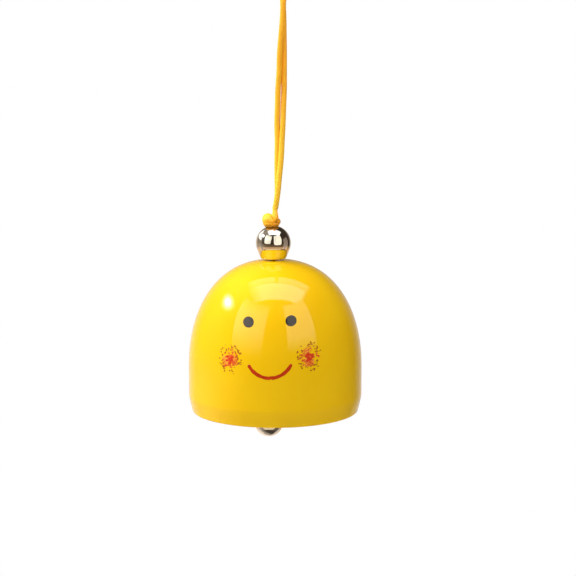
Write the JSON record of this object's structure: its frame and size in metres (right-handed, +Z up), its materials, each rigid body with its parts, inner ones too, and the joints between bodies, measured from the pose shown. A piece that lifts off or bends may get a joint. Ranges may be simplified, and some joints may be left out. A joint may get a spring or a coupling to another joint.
{
  "type": "wind chime",
  "caption": "Small iron bell wind chime: glossy painted dome under a steel bead, hung on a knotted doubled cord loop, with a ball clapper that swings inside.",
  "frame": {"origin": "inside of the hanging loop's top, where the hook that carries the chime touches the cord", "axes": "+Z up along the hanging line, -Y towards the viewer who sees the painted face, +X to that viewer's right"},
  "size_m": [0.06, 0.06, 0.1776],
  "materials": {
    "enamel": "glossy yellow enamel paint over pressed iron, with a painted face",
    "chrome": "bright nickel and chrome plate",
    "cord": "satin braided cord, yellow to orange"
  },
  "bodies": {
    "hanger": {"hanging_cord": "cord"},
    "knot": {"top_knot": "cord"},
    "stem": {"threaded_cord": "cord", "inner_knot": "cord"},
    "bead": {"crown_bead": "chrome"},
    "bell": {"bell_dome": "enamel"},
    "clapper_line": {"clapper_cord": "cord", "clapper_knot": "cord", "clapper_bight": "cord"},
    "clapper": {"clapper_eye": "chrome", "clapper_ball": "chrome"}
  },
  "joints": [
    {"name": "knot_swing", "type": "hinge", "parent": "hanger", "child": "knot", "pos_m": [-0.0029, 0, -0.0956], "axis": [0, 1, 0], "range_deg": [-35, 35]},
    {"name": "bell_nod", "type": "hinge", "parent": "knot", "child": "stem", "pos_m": [-0.0035, 0, -0.1078], "axis": [1, 0, 0], "range_deg": [-20, 20]},
    {"name": "bead_turn", "type": "hinge", "parent": "stem", "child": "bead", "pos_m": [-0.0035, 0, -0.1078], "axis": [0, 0, 1], "continuous": true},
    {"name": "bell_turn", "type": "hinge", "parent": "stem", "child": "bell", "pos_m": [-0.0029, 0, -0.1134], "axis": [0, 0, 1], "continuous": true},
    {"name": "clapper_swing", "type": "hinge", "parent": "stem", "child": "clapper_line", "pos_m": [-0.0051, 0, -0.12104], "axis": [0, 1, 0], "range_deg": [-28.5, 22.5]},
    {"name": "clapper_nod", "type": "hinge", "parent": "clapper_line", "child": "clapper", "pos_m": [-0.0051, 0, -0.16089], "axis": [1, 0, 0], "range_deg": [-35, 35]}
  ]
}
